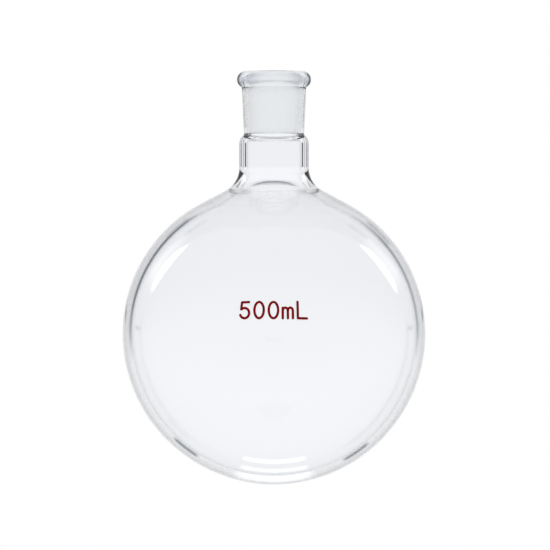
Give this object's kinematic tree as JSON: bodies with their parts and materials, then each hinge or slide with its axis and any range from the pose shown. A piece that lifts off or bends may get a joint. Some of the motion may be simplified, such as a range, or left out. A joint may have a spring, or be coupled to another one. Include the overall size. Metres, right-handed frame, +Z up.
{
  "type": "round-bottom flask",
  "caption": "Clear glass round-bottom flask: a round bulb with a short swept neck and a conical ground-glass joint with a beaded rim, for boiling, distilling and collecting.",
  "frame": {"origin": "the bulb's lowest point, on the flask's axis", "axes": "+Z up along the flask's axis and out of the mouth, +X to the right and -Y towards the viewer, on the side that carries the capacity in the visual model"},
  "size_m": [0.105, 0.105, 0.1432],
  "materials": {
    "glass": "clear borosilicate glass, fire polished, with a finely ground cone inside the joint"
  },
  "bodies": {
    "root": {"flask": "glass"}
  },
  "joints": []
}
